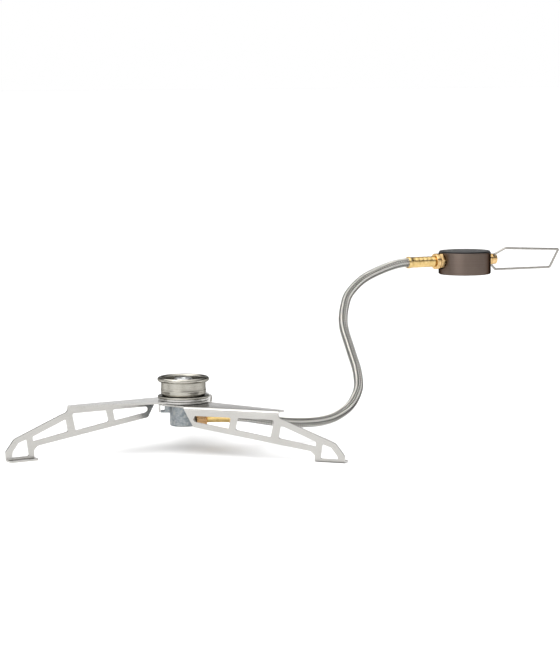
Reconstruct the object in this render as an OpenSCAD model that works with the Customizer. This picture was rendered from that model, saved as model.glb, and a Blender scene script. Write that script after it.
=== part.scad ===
// Folding remote stand for a screw-on canister stove.
// Three pressed steel legs stack on a cast hub that carries the stove's thread inside a rolled cup.
// A braided fuel hose runs from the hub to a ring-shaped valve that screws onto the fuel canister.

/* [Legs] */
// Thickness of the leg sheet
sheet_t = 1.0; // [0.8:0.1:1.2]
// Outer radius of the ring at the inner end of each leg
leg_ring_r = 14.6; // [14.2:0.1:15.0]
// Distance of the upright web's outer face from the leg's own centre line
web_side = 18.6; // [17:0.2:20]
// Distance of the toe from the hub axis, measured along the leg
leg_reach = 105; // [104:1:106]
// Width of the foot that is folded in at the toe
foot_w = 7; // [5:0.5:9]
// Direction of the right leg in plan
right_azimuth = -21; // [-24:1:-20]
// Direction of the left leg in plan
left_azimuth = 212; // [208:1:214]
// Direction of the rear leg in plan
rear_azimuth = 103; // [100:1:104]

/* [Hub and cup] */
// Height of the hub's seat for the lowest leg ring
seat_z = 26.6; // [26:0.1:27]
// Radius of the cast hub body
hub_r = 8.1; // [7.8:0.1:8.6]
// Height of the hub's underside above the ground
hub_foot_z = 14; // [13:0.5:15]
// Height of the hose outlet's axis
outlet_z = 19; // [19:1:19]
// Outer radius of the cup's wall
cup_r = 12.95; // [12.5:0.05:13.2]
// Radius of the bead that rolls the cup's rim
rim_bead_r = 1.4; // [1.2:0.1:1.5]
// Radius over the crests of the stove thread
post_r = 5.55; // [5.5:0.01:5.6]
// Height of the stove thread's top face above the ground
post_top_z = 41.5; // [41:0.5:42]

/* [Hose] */
// Outer diameter of the braided hose
hose_d = 5.7; // [5.2:0.1:5.8]
// Outer diameter of the inner liner
liner_d = 4.6; // [4.4:0.1:4.6]

/* [Canister coupler] */
// Outer radius of the valve ring
ring_r = 16.7; // [16.4:0.1:17]
// Height of the ring's underside above the ground
ring_z = 87; // [87:0.1:87]
// Height of the ring with its cap
ring_h = 14.7; // [14.7:0.1:15.2]
// Height of the valve and hose axis
valve_z = 95.7; // [95.7:0.1:95.7]
// Direction of the valve stem in plan
valve_azimuth = 25; // [25:1:25]
// Radius of the canister thread
canister_thread_r = 5.2; // [5.1:0.05:5.3]

/* [Wire handle] */
// Radius of the handle wire
wire_r = 0.7; // [0.6:0.05:0.72]
// Half the width of the wire loop
loop_half_w = 10.2; // [9:0.1:11]
// Half the width of the loop at its far bar
loop_end_half_w = 9.1; // [8:0.1:11]
// Distance of the loop's far bar from the ring's axis
loop_end = 66.5; // [50:0.5:70]
// Lean of the loop's plane about the stem
loop_lean = 49; // [0:1:60]
// Swing of the loop about its pivot, as it happens to lie
loop_swing = 2.4; // [0:0.1:5]

/* [Hidden] */

$fn = 64;
eps = 0.01;
run_gap = 0.05;

// Stack of leg rings on the hub's sleeve
washer_t = 0.4;
level_pitch = sheet_t + washer_t;
sleeve_r = 7;
wave_t = 0.2;
retainer_t = 1;
retainer_r = 14.85;
retainer_z = seat_z + 3 * sheet_t + 2 * washer_t + wave_t;
cup_floor_z = retainer_z + retainer_t;
function level_z(level) = seat_z + level * level_pitch;

// Cup and post
cup_t = 0.6;
rim_z = post_top_z - 0.5;
rim_r = cup_r + 0.6;
shank_r = 4;
shoulder_r = 7.5;
shoulder_h = 1.5;
post_bore_r = 1.5;
seal_seat_r = 5.5;
seal_seat_h = 1.4;

// Hose fittings, measured along the hose axis from a fitting's seat
nut_flats = 8.6;
nut_len = 4.6;
ferrule_r = 3.45;
ferrule_len = 19.5;
hub_ferrule_len = 14.8;
ferrule_lip_r = 3.75;
ferrule_lip_len = 2;
barb_r = 1.2;
hub_seat_x = 7.6;
hub_nut_len = 5.9;
coupler_seat = 14.5;
spot_face_r = 5.05;
collar_len = 3;
collar_r = 5;
port_r = 3;
fuel_r = 1;

// Coupler
ring_x = 174.3;
ring_y = 158;
skirt_r = 15.6;
skirt_z = ring_z + 3.2;
cap_t = 0.8;
cap_z = ring_z + ring_h - cap_t;
core_r = 10;
spigot_r = 8;
thread_len = 3.8;
spigot_z = ring_z + 6.2;
chamber_r = 2.5;
chamber_z = valve_z + 1;
bush_r = 3.8;
gallery_r = 0.6;
gallery_h = 3;
stem_r = 3.4;
stem_bore_r = 2.25;
stem_end = 22.6;
bush_in = 11;
bush_out = 16.4;
hinge_at = 20.4;
loop_shoulder = 25.8;

// Hose route from the hub's crimp to the coupler's crimp, height above the ground in the third place
route = [
    [18, 0, 19], [24, 0, 19], [28.5, 0, 19], [36, 0.8, 18.4], [43.9, 4, 16.7], [52.9, 9, 14.6],
    [64.9, 17, 12.5], [75.9, 26, 11.5], [83.9, 33, 11.9], [89.9, 39, 13.4], [95.9, 47, 16.3],
    [100, 54, 20.3], [103, 63, 26.3], [103, 71, 32.3], [102.1, 78, 37.3], [100.1, 86, 43.3],
    [98.2, 94, 49.3], [96.2, 101, 55.3], [95.2, 107, 60.3], [95.3, 112, 65.3], [96.3, 117, 70.3],
    [98.3, 122, 76.3], [102.4, 126, 81.3], [107.4, 128.5, 85.8], [113.4, 131, 89.2],
    [120.5, 133.5, 92.2], [126.8, 135.9, 94.3], [132.6, 138.5, 95.5], [136.6, 140.42, 95.7],
    [142.6, 143.22, 95.7], [148.83, 146.12, 95.7]
];

// The tube has one ring at each point of the route
hose_sides = 12;
last = len(route) - 1;
function unit(v) = v / norm(v);
function tangent(i) = unit(route[min(last, i + 1)] - route[max(0, i - 1)]);
// Each ring's first direction is the previous one's, turned with the hose so the tube doesn't twist
function side_of(i) =
    i == 0 ? [0, 1, 0]
    : let (t = tangent(i), s = side_of(i - 1)) unit(s - t * (s * t));
sides = [for (i = [0 : last]) side_of(i)];
function ring(i, r) =
    let (s = sides[i], u = cross(tangent(i), s))
    [for (k = [0 : hose_sides - 1]) let (a = 360 * k / hose_sides)
        route[i] + r * (cos(a) * s + sin(a) * u)];
function next(k) = (k + 1) % hose_sides;

// Tube along the hose route, open through its bore
module swept_tube(outer_r, inner_r) {
    rings = last + 1;
    inner_start = rings * hose_sides;
    points = concat(
        [for (i = [0 : last]) each ring(i, outer_r)],
        [for (i = [0 : last]) each ring(i, inner_r)]
    );
    outside = [for (i = [0 : last - 1], k = [0 : hose_sides - 1]) each let (
            a = i * hose_sides + k, b = i * hose_sides + next(k), c = a + hose_sides, d = b + hose_sides)
        [[a, c, b], [b, c, d]]];
    inside = [for (f = outside) [for (j = [2, 1, 0]) f[j] + inner_start]];
    start_cap = [for (k = [0 : hose_sides - 1]) each let (
            a = k, b = next(k), c = a + inner_start, d = b + inner_start)
        [[a, b, c], [b, d, c]]];
    end_cap = [for (f = start_cap) [for (j = [2, 1, 0]) f[j] + last * hose_sides]];
    polyhedron(points = points, faces = concat(outside, inside, start_cap, end_cap), convexity = 10);
}

// Everything is drawn standing on the ground and then lowered, so the stove thread is the origin
module stand_down() {
    translate([0, 0, -post_top_z]) children();
}
// Places a child drawn along +X onto the valve axis, pointing out at the stem
module on_valve_axis(turn = 0) {
    translate([ring_x, ring_y, valve_z]) rotate([0, 0, valve_azimuth + turn]) children();
}
// Cylinder along +X from one distance to another
module rod_x(r, from, to) {
    translate([from, 0, 0]) rotate([0, 90, 0]) cylinder(r = r, h = to - from);
}
// Hexagonal bar along +X
module hex_x(flats, from, to) {
    translate([from, 0, 0]) rotate([0, 90, 0]) cylinder(r = flats / sqrt(3), h = to - from, $fn = 6);
}
module washer(r_out, r_in, t) {
    difference() {
        cylinder(r = r_out, h = t);
        translate([0, 0, -1]) cylinder(r = r_in, h = t + 2);
    }
}
module o_ring(mid_r, section_r) {
    rotate_extrude() translate([mid_r, 0]) circle(r = section_r, $fn = 24);
}

// Outline of the upright web: length along the leg against height above the ground.
// A leg higher in the stack is raised by lift, all but its foot.
module web_outline(top, lift) {
    notch = [for (a = [180 : 15 : 270]) [68.5 + 2.8 * cos(a), 25.7 + 2.8 * sin(a) + lift]];
    polygon(concat(
        [[13.8, 16.2 + lift], [7.1, top], [65.7, top]],
        notch,
        [[99.7, 10.9 + lift], [leg_reach + 0.6, 4.1 + lift], [leg_reach, 0], [87.4, 0], [87.4, 3.7 + lift],
            [85, 5.9 + lift]]
    ));
}
module web_windows(lift) {
    translate([0, lift]) {
        translate([15.6, 20.85]) circle(r = 1.75, $fn = 32);
        polygon([[15.6, 22.6], [36.9, 22.6], [35.5, 16.1], [15.2, 19.1]]);
        polygon([[41, 22.5], [63.1, 22.5], [61, 12.5], [39.4, 15.8]]);
        polygon([[67, 19.6], [88.3, 11.3], [88, 8.6], [65.7, 12.3]]);
    }
    polygon([[91.9, 10.2 + lift], [97.1, 8.5 + lift], [100.8, 3.8 + lift], [101.2, 2], [90.6, 2]]);
}
// One leg along +X with its ring on the hub axis, at a level of the stack
module leg_shape(level) {
    z = level_z(level);
    difference() {
        union() {
            translate([0, 0, z]) linear_extrude(sheet_t) {
                circle(r = leg_ring_r);
                polygon([[7.1, -web_side], [65.7, -web_side], [68.4, -13.2], [14, 4.2], [0, 0]]);
                polygon([[0, 0], [-6, -13.3], [7.1, -web_side]]);
            }
            translate([0, sheet_t - web_side, 0]) rotate([90, 0, 0]) linear_extrude(sheet_t) difference() {
                web_outline(z + sheet_t, z - seat_z);
                web_windows(z - seat_z);
            }
            translate([87.4, -web_side, 0]) cube([leg_reach - 87.4, foot_w, sheet_t]);
        }
        translate([0, 0, z - 1]) cylinder(r = sleeve_r + run_gap, h = sheet_t + 2);
    }
}

module hub_casting() {
    color([0.56, 0.6, 0.63]) stand_down() {
        difference() {
            union() {
                rotate_extrude() polygon([
                    [0, hub_foot_z], [hub_r - 1, hub_foot_z], [hub_r - 0.3, hub_foot_z + 0.3],
                    [hub_r, hub_foot_z + 1], [hub_r, seat_z - 1], [9.6, seat_z - 1],
                    [9.6, seat_z], [sleeve_r, seat_z], [sleeve_r, cup_floor_z], [0, cup_floor_z]
                ]);
                // Lug and lip that the right leg's tab hooks behind
                translate([-10.9, -2.2, 21.6]) cube([4, 4.4, 4]);
                translate([-13.2, -2.2, 21.6]) cube([3, 4.4, 1.2]);
            }
            translate([0, 0, 24]) cylinder(r = shank_r + run_gap, h = 20);
            translate([0, 0, cup_floor_z - seal_seat_h]) cylinder(r = seal_seat_r, h = 10);
            translate([0, 0, outlet_z]) cylinder(r = fuel_r, h = 10);
            translate([0, 0, outlet_z]) rod_x(fuel_r, 0, 10);
            translate([0, 0, outlet_z]) rod_x(port_r + run_gap, 4, 10);
            translate([0, 0, outlet_z]) rod_x(5.6, hub_seat_x, 20);
        }
    }
}
module right_leg() {
    color([0.8, 0.8, 0.79]) stand_down() {
        rotate([0, 0, right_azimuth]) leg_shape(0);
        // Tab that keeps this leg square to the hub
        translate([-14.4, -2.2, 21.8]) cube([1, 4.4, seat_z + sheet_t - 21.8]);
    }
}
module left_leg() {
    color([0.8, 0.8, 0.79]) stand_down() rotate([0, 0, left_azimuth]) leg_shape(1);
}
module rear_leg() {
    color([0.8, 0.8, 0.79]) stand_down() rotate([0, 0, rear_azimuth]) leg_shape(2);
}
module lower_washer() {
    color([0.2, 0.2, 0.2]) stand_down()
        translate([0, 0, level_z(0) + sheet_t]) washer(11, sleeve_r + 2 * run_gap, washer_t);
}
module upper_washer() {
    color([0.2, 0.2, 0.2]) stand_down()
        translate([0, 0, level_z(1) + sheet_t]) washer(11, sleeve_r + 2 * run_gap, washer_t);
}
module wave_washer() {
    color([0.4, 0.4, 0.4]) stand_down()
        translate([0, 0, level_z(2) + sheet_t]) washer(10.5, sleeve_r + 2 * run_gap, wave_t);
}
module retaining_ring() {
    color([0.85, 0.85, 0.83]) stand_down()
        translate([0, 0, retainer_z]) washer(retainer_r, sleeve_r + run_gap, retainer_t);
}
module stove_cup() {
    color([0.78, 0.76, 0.7]) stand_down() rotate_extrude() {
        polygon([
            [shank_r + 0.1, cup_floor_z], [cup_r - 0.7, cup_floor_z], [cup_r, cup_floor_z + 0.7],
            [cup_r, rim_z], [cup_r - cup_t, rim_z], [cup_r - cup_t, cup_floor_z + cup_t],
            [shank_r + 0.1, cup_floor_z + cup_t]
        ]);
        translate([rim_r, rim_z]) circle(r = rim_bead_r, $fn = 32);
    }
}
module threaded_post() {
    color([0.75, 0.75, 0.73]) stand_down() difference() {
        union() {
            translate([0, 0, 24.4]) cylinder(r = shank_r, h = 10);
            translate([0, 0, cup_floor_z + cup_t]) cylinder(r = shoulder_r, h = shoulder_h);
            translate([0, 0, cup_floor_z + cup_t]) cylinder(r = post_r, h = post_top_z - cup_floor_z - cup_t);
        }
        translate([0, 0, 20]) cylinder(r = post_bore_r, h = 30);
    }
}
module post_seal() {
    color([0.08, 0.08, 0.08]) stand_down()
        translate([0, 0, cup_floor_z - seal_seat_h / 2]) o_ring(4.78, 0.68);
}

// Hexagonal union nut with its nipple, drawn outward along +X from a seat
module union_nut(seat, length) {
    difference() {
        union() {
            hex_x(nut_flats, seat, seat + length);
            rod_x(port_r, seat - 3, seat + eps);
        }
        rod_x(fuel_r, seat - 4, seat + length + 1);
    }
}
// Crimped sleeve over the hose end
module crimp_ferrule(start, length) {
    difference() {
        union() {
            rod_x(ferrule_r, start, start + length);
            rod_x(ferrule_lip_r, start + length - ferrule_lip_len, start + length);
        }
        rod_x(hose_d / 2 + run_gap, start + 3.5, start + length + 1);
        rod_x(barb_r + run_gap, start - 1, start + length);
    }
}
// Brass tail that the liner is pushed over
module hose_barb(start) {
    difference() {
        rod_x(barb_r, start, start + 12);
        rod_x(0.6, start - 1, start + 13);
    }
}
module hub_nut() {
    color([0.85, 0.6, 0.35]) stand_down() translate([0, 0, outlet_z]) union_nut(hub_seat_x, hub_nut_len);
}
module hub_barb() {
    color([0.8, 0.65, 0.3]) stand_down() translate([0, 0, outlet_z]) hose_barb(hub_seat_x + hub_nut_len);
}
module hub_ferrule() {
    color([0.85, 0.68, 0.3]) stand_down()
        translate([0, 0, outlet_z]) crimp_ferrule(hub_seat_x + hub_nut_len, hub_ferrule_len);
}
module hose_braid() {
    color([0.65, 0.63, 0.6]) stand_down() swept_tube(hose_d / 2, liner_d / 2 + 0.05);
}
module hose_liner() {
    color([0.85, 0.85, 0.82]) stand_down() swept_tube(liner_d / 2, barb_r + 0.1);
}
module coupler_nut() {
    color([0.85, 0.66, 0.3]) stand_down() on_valve_axis(180) union_nut(coupler_seat, nut_len);
}
module coupler_collar() {
    color([0.85, 0.68, 0.3]) stand_down() on_valve_axis(180) difference() {
        rod_x(collar_r, coupler_seat + nut_len, coupler_seat + nut_len + collar_len);
        rod_x(fuel_r, 0, 40);
    }
}
module coupler_barb() {
    color([0.8, 0.65, 0.3]) stand_down() on_valve_axis(180)
        hose_barb(coupler_seat + nut_len + collar_len);
}
module coupler_ferrule() {
    color([0.85, 0.68, 0.3]) stand_down() on_valve_axis(180)
        crimp_ferrule(coupler_seat + nut_len + collar_len, ferrule_len);
}

module coupler_body() {
    chamfer = 0.6;
    color([0.38, 0.31, 0.27]) stand_down() difference() {
        translate([ring_x, ring_y, 0]) rotate_extrude() polygon([
            [0, chamber_z], [chamber_r, chamber_z], [chamber_r, spigot_z], [spigot_r + 0.02, spigot_z],
            [spigot_r + 0.02, skirt_z], [skirt_r, skirt_z], [skirt_r, ring_z],
            [ring_r - chamfer, ring_z], [ring_r, ring_z + chamfer], [ring_r, cap_z],
            [10.5, cap_z], [10.5, cap_z - 1.2], [0, cap_z - 1.2]
        ]);
        // Needle valve seat, its bore and the bush's pocket
        on_valve_axis() rod_x(0.9, 0, 5);
        on_valve_axis() rod_x(stem_bore_r, 4.2, 30);
        on_valve_axis() rod_x(bush_r, bush_in, 30);
        // Hose port with its spot-faced seat
        on_valve_axis(180) rod_x(fuel_r, 9, 30);
        on_valve_axis(180) rod_x(port_r + run_gap, coupler_seat - 3.6, 30);
        on_valve_axis(180) rod_x(spot_face_r, coupler_seat, 30);
        // Gallery that leads the metered gas over the chamber to the hose port
        on_valve_axis() translate([0, 0, gallery_h]) rod_x(gallery_r, -10.8, 8.4);
        for (x = [-10, 7.4])
            on_valve_axis() translate([x, 0, 0]) cylinder(r = gallery_r, h = gallery_h, $fn = 24);
    }
}
module coupler_cap() {
    color([0.07, 0.07, 0.08]) stand_down() translate([ring_x, ring_y, 0]) rotate_extrude() polygon([
        [0, cap_z - 1.2], [10.45, cap_z - 1.2], [10.45, cap_z], [ring_r, cap_z],
        [ring_r - 0.5, cap_z + cap_t], [0, cap_z + cap_t]
    ]);
}
module coupler_core() {
    color([0.82, 0.7, 0.42]) stand_down() translate([ring_x, ring_y, 0]) rotate_extrude() polygon([
        [canister_thread_r, ring_z], [core_r, ring_z], [core_r, skirt_z], [spigot_r, skirt_z],
        [spigot_r, spigot_z], [1.4, spigot_z], [1.4, spigot_z - 0.8],
        [canister_thread_r + 0.4, spigot_z - 0.8], [canister_thread_r + 0.4, ring_z + thread_len],
        [canister_thread_r, ring_z + thread_len]
    ]);
}
module coupler_seal() {
    color([0.08, 0.08, 0.08]) stand_down()
        translate([ring_x, ring_y, spigot_z - 1.59]) o_ring(4.8, 0.78);
}
module depressor_pin() {
    color([0.8, 0.8, 0.8]) stand_down() translate([ring_x, ring_y, 0]) {
        translate([0, 0, ring_z + thread_len + 0.3]) cylinder(r = 0.8, h = 2.5);
        intersection() {
            translate([0, 0, spigot_z]) cylinder(r = 2.4, h = 0.6);
            translate([-1.2, -3, spigot_z]) cube([2.4, 6, 1]);
        }
    }
}
module gland_bush() {
    color([0.8, 0.65, 0.3]) stand_down() on_valve_axis() difference() {
        rod_x(bush_r - 0.02, bush_in, bush_out);
        rod_x(stem_bore_r, bush_in - 1, bush_out + 1);
    }
}
module valve_stem() {
    color([0.85, 0.66, 0.3]) stand_down() on_valve_axis() difference() {
        union() {
            rod_x(0.7, 2.8, 5);
            translate([4.4, 0, 0]) rotate([0, 90, 0]) cylinder(r1 = 0.7, r2 = stem_bore_r - run_gap, h = 1.5);
            rod_x(stem_bore_r - run_gap, 5.9, ring_r + 0.6);
            rod_x(stem_r, ring_r + 0.3, stem_end - 0.5);
            translate([stem_end - 0.5, 0, 0]) rotate([0, 90, 0]) cylinder(r1 = stem_r, r2 = stem_r - 0.5, h = 0.5);
        }
        // Groove for the seal, and the cross hole for the wire
        difference() {
            rod_x(4, 8.8, 10.2);
            rod_x(1.5, 8, 11);
        }
        translate([hinge_at, 0, 0]) rotate([-loop_lean, 0, 0])
            rotate([90, 0, 0]) cylinder(r = wire_r + 0.06, h = 10, center = true, $fn = 32);
    }
}
module stem_seal() {
    color([0.08, 0.08, 0.08]) stand_down() on_valve_axis()
        translate([9.5, 0, 0]) rotate([0, 90, 0]) o_ring(1.87, 0.35);
}
// Bent wire from one point of the loop's plane to the next, with round corners
module wire(from, to) {
    run = to - from;
    translate([from[0], from[1], 0]) rotate([0, 0, atan2(run[1], run[0])]) rod_x(wire_r, 0, norm(run));
    translate([to[0], to[1], 0]) sphere(r = wire_r + 0.03, $fn = 24);
}
module wire_handle() {
    bend = stem_r + 0.9;
    out = loop_shoulder - hinge_at;
    end = loop_end - hinge_at;
    bends = [
        [0, 1], [0, bend], [out, loop_half_w], [end, loop_end_half_w],
        [end, -loop_end_half_w], [out, -loop_half_w], [0, -bend], [0, -1]
    ];
    color([0.8, 0.8, 0.78]) stand_down() on_valve_axis() rotate([-loop_lean, 0, 0])
        translate([hinge_at, 0, 0]) rotate([0, loop_swing, 0])
            for (i = [0 : len(bends) - 2]) wire(bends[i], bends[i + 1]);
}

hub_casting();
right_leg();
left_leg();
rear_leg();
lower_washer();
upper_washer();
wave_washer();
retaining_ring();
stove_cup();
threaded_post();
post_seal();
hub_nut();
hub_barb();
hub_ferrule();
hose_braid();
hose_liner();
coupler_ferrule();
coupler_barb();
coupler_collar();
coupler_nut();
coupler_body();
coupler_cap();
coupler_core();
coupler_seal();
depressor_pin();
gland_bush();
valve_stem();
stem_seal();
wire_handle();
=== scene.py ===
import math

import bmesh
import bpy
import numpy as np
from mathutils import Matrix, Vector, geometry


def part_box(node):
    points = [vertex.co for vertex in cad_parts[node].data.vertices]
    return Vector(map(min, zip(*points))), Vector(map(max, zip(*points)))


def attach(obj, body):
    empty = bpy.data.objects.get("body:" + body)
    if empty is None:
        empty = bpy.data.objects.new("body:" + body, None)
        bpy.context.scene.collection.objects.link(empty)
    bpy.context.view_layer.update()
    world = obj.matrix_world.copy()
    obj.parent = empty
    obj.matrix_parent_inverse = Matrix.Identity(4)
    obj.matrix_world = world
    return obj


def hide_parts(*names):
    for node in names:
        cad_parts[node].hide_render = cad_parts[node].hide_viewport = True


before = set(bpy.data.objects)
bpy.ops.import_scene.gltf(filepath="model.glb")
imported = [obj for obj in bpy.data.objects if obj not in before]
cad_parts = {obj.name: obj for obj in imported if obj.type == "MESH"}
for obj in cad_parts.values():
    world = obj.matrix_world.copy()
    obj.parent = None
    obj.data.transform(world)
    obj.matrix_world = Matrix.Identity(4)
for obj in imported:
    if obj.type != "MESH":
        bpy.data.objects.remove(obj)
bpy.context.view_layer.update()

MM = 0.001
TAU = 2 * math.pi

# Where the object stands: the frame's origin is the stove thread's top face, on the hub axis
GROUND = min(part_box(leg)[0].z for leg in ("right_leg", "left_leg", "rear_leg"))


# -------------------- camera

def add_camera():
    """The photograph's view: far off, a little above the table, square to the hose outlet."""
    elevation = math.radians(6.42)
    roll = math.radians(-0.4)
    distance = 1.4
    aim = Vector((0.05596, 0.0073, GROUND + 0.06462))
    back = Vector((0, -math.cos(elevation), math.sin(elevation)))
    data = bpy.data.cameras.new("camera")
    data.lens = 129.6
    data.clip_end = 20
    camera = bpy.data.objects.new("camera", data)
    camera.matrix_world = (Matrix.Translation(aim + distance * back)
                           @ Matrix.Rotation(math.radians(90) - elevation, 4, "X")
                           @ Matrix.Rotation(roll, 4, "Z"))
    bpy.context.scene.collection.objects.link(camera)
    bpy.context.scene.camera = camera


# -------------------- material helpers

class Nodes:
    """A node tree with a few shortcuts."""

    def __init__(self, tree):
        self.tree = tree

    def node(self, kind, **values):
        made = self.tree.nodes.new(kind)
        for name, value in values.items():
            setattr(made, name, value)
        return made

    def link(self, output, socket):
        self.tree.links.new(output, socket)

    def math(self, operation, *values):
        """One step of arithmetic on numbers and other nodes' outputs."""
        made = self.node("ShaderNodeMath", operation=operation)
        for socket, value in zip(made.inputs, values):
            if isinstance(value, bpy.types.NodeSocket):
                self.link(value, socket)
            else:
                socket.default_value = value
        return made.outputs["Value"]

    def spread(self, value, low, high, from_low=0.3, from_high=0.7, **values):
        """Goes from low to high while the value crosses its own range, at first a noise's middle."""
        made = self.node("ShaderNodeMapRange", **values)
        made.inputs["From Min"].default_value = from_low
        made.inputs["From Max"].default_value = from_high
        made.inputs["To Min"].default_value = low
        made.inputs["To Max"].default_value = high
        self.link(value, made.inputs["Value"])
        return made.outputs["Result"]

    def ramp(self, value, *stops):
        made = self.node("ShaderNodeValToRGB")
        elements = made.color_ramp.elements
        while len(elements) < len(stops):
            elements.new(0.5)
        for element, (position, colour) in zip(elements, stops):
            element.position = position
            element.color = (*colour, 1)
        self.link(value, made.inputs["Fac"])
        return made.outputs["Color"]


class Shader(Nodes):
    """A Principled material. Textures run on object coordinates, in metres."""

    def __init__(self, name, colour, metallic, roughness, **sockets):
        self.material = bpy.data.materials.new(name)
        self.material.use_nodes = True
        super().__init__(self.material.node_tree)
        self.bsdf = self.tree.nodes["Principled BSDF"]
        self.bsdf.inputs["Base Color"].default_value = (*colour, 1)
        self.bsdf.inputs["Metallic"].default_value = metallic
        self.bsdf.inputs["Roughness"].default_value = roughness
        for socket, value in sockets.items():
            self.bsdf.inputs[socket.replace("_", " ").title().replace("Ior", "IOR")].default_value = value
        self.height = None

    def turned(self, anisotropy):
        """Highlights drawn out along the axis, as the fine rings of a lathe do to them."""
        tangent = self.node("ShaderNodeTangent", direction_type="RADIAL", axis="Z")
        self.link(tangent.outputs["Tangent"], self.bsdf.inputs["Tangent"])
        self.bsdf.inputs["Anisotropic"].default_value = anisotropy
        self.bsdf.inputs["Anisotropic Rotation"].default_value = 0.25

    def coords(self, stretch=(1, 1, 1), turn=(0, 0, 0), origin=(0, 0, 0)):
        where = self.node("ShaderNodeTexCoord").outputs["Object"]
        mapping = self.node("ShaderNodeMapping", vector_type="TEXTURE")
        mapping.inputs["Location"].default_value = origin
        mapping.inputs["Rotation"].default_value = turn
        mapping.inputs["Scale"].default_value = stretch
        self.link(where, mapping.inputs["Vector"])
        return mapping.outputs["Vector"]

    def noise(self, per_mm, detail=3, distortion=0.0, **placing):
        made = self.node("ShaderNodeTexNoise")
        made.inputs["Scale"].default_value = per_mm / MM
        made.inputs["Detail"].default_value = detail
        made.inputs["Distortion"].default_value = distortion
        self.link(self.coords(**placing), made.inputs["Vector"])
        return made.outputs["Fac"]

    def colour(self, output):
        self.link(output, self.bsdf.inputs["Base Color"])

    def roughness(self, output):
        self.link(output, self.bsdf.inputs["Roughness"])

    def bump(self, output, depth_mm, strength=1.0):
        """Adds a bump on top of those already there."""
        made = self.node("ShaderNodeBump")
        made.inputs["Distance"].default_value = depth_mm * MM
        made.inputs["Strength"].default_value = strength
        self.link(output, made.inputs["Height"])
        if self.height:
            self.link(self.height, made.inputs["Normal"])
        self.height = made.outputs["Normal"]
        self.link(self.height, self.bsdf.inputs["Normal"])

    def radius(self, centre=(0, 0, 0), turn=(0, 0, 0)):
        """Distance from an upright axis through centre, for lathe marks on flat faces."""
        apart = self.node("ShaderNodeSeparateXYZ")
        self.link(self.coords(origin=centre, turn=turn), apart.inputs["Vector"])
        flat = self.node("ShaderNodeCombineXYZ")
        self.link(apart.outputs["X"], flat.inputs["X"])
        self.link(apart.outputs["Y"], flat.inputs["Y"])
        length = self.node("ShaderNodeVectorMath", operation="LENGTH")
        self.link(flat.outputs["Vector"], length.inputs[0])
        return length.outputs["Value"], apart.outputs["Z"]

    def lathe_marks(self, centre, turn, per_mm, detail=2):
        """Noise that only changes along the axis and with the radius, as a turning tool leaves it."""
        distance, along = self.radius(centre, turn)
        place = self.node("ShaderNodeCombineXYZ")
        self.link(distance, place.inputs["X"])
        self.link(along, place.inputs["Y"])
        made = self.node("ShaderNodeTexNoise")
        made.inputs["Scale"].default_value = per_mm / MM
        made.inputs["Detail"].default_value = detail
        self.link(place.outputs["Vector"], made.inputs["Vector"])
        return made.outputs["Fac"]


# Axes that turned parts share: (a point on the axis, the turn that lays +Z along it)
HUB_AXIS = ((0, 0, 0), (0, 0, 0))
OUTLET_HEIGHT = GROUND + 19 * MM
OUTLET_AXIS = ((0, 0, OUTLET_HEIGHT), (0, math.radians(90), 0))
RING_LOW, RING_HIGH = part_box("coupler_body")
RING_CENTRE = (RING_LOW + RING_HIGH) / 2
RING_AXIS = ((RING_CENTRE.x, RING_CENTRE.y, 0), (0, 0, 0))
VALVE_TURN = math.radians(25)
VALVE_HEIGHT = GROUND + 95.7 * MM
VALVE_POINT = (RING_CENTRE.x, RING_CENTRE.y, VALVE_HEIGHT)
VALVE_AXIS = (VALVE_POINT, (0, math.radians(90), VALVE_TURN))


def leg_steel(azimuth):
    """Satin stainless sheet, its grain along the leg."""
    made = Shader("leg_steel", (0.45, 0.44, 0.42), 1.0, 0.22)
    turn = (0, 0, math.radians(azimuth))
    grain = made.noise(2.2, detail=4, stretch=(14, 1, 1), turn=turn)
    cloud = made.noise(0.05, detail=4)
    made.colour(made.ramp(cloud, (0.3, (0.43, 0.42, 0.4)), (0.7, (0.475, 0.465, 0.445))))
    made.roughness(made.spread(grain, 0.15, 0.28))
    made.bump(grain, 0.012)
    made.bump(made.noise(0.12, detail=2), 0.03, 0.5)
    return made.material


def cup_steel():
    """Bright drawn steel with faint rings from the drawing die."""
    made = Shader("cup_steel", (0.4, 0.385, 0.34), 1.0, 0.24, specular_tint=(0.25, 0.25, 0.25, 1))
    marks = made.lathe_marks(*HUB_AXIS, per_mm=5)
    cloud = made.noise(0.25, detail=4)
    made.colour(made.ramp(cloud, (0.3, (0.35, 0.335, 0.295)), (0.7, (0.44, 0.425, 0.38))))
    made.roughness(made.spread(marks, 0.16, 0.32))
    made.bump(marks, 0.006)
    made.bump(made.noise(0.5, detail=3), 0.02, 0.4)
    made.turned(0.6)
    return made.material


def post_metal():
    """Plated steel of the threaded post, with the tool's rings."""
    made = Shader("post_metal", (0.66, 0.67, 0.67), 1.0, 0.2, specular_tint=(0.4, 0.4, 0.4, 1))
    marks = made.lathe_marks(*HUB_AXIS, per_mm=6)
    made.roughness(made.spread(marks, 0.14, 0.3))
    made.bump(marks, 0.005)
    return made.material


def cast_hub():
    """Blue-grey zinc casting, mottled and slightly pitted."""
    made = Shader("cast_hub", (0.36, 0.39, 0.42), 0.85, 0.42)
    blotch = made.noise(0.7, detail=7, distortion=0.4)
    made.colour(made.ramp(
        blotch, (0.3, (0.17, 0.195, 0.215)), (0.47, (0.26, 0.285, 0.3)),
        (0.6, (0.32, 0.335, 0.335)), (0.75, (0.4, 0.4, 0.37))))
    made.roughness(made.spread(made.noise(1.1, detail=4), 0.3, 0.55))
    made.bump(made.noise(2.4, detail=5), 0.05, 0.8)
    made.bump(blotch, 0.06, 0.5)
    return made.material


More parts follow.
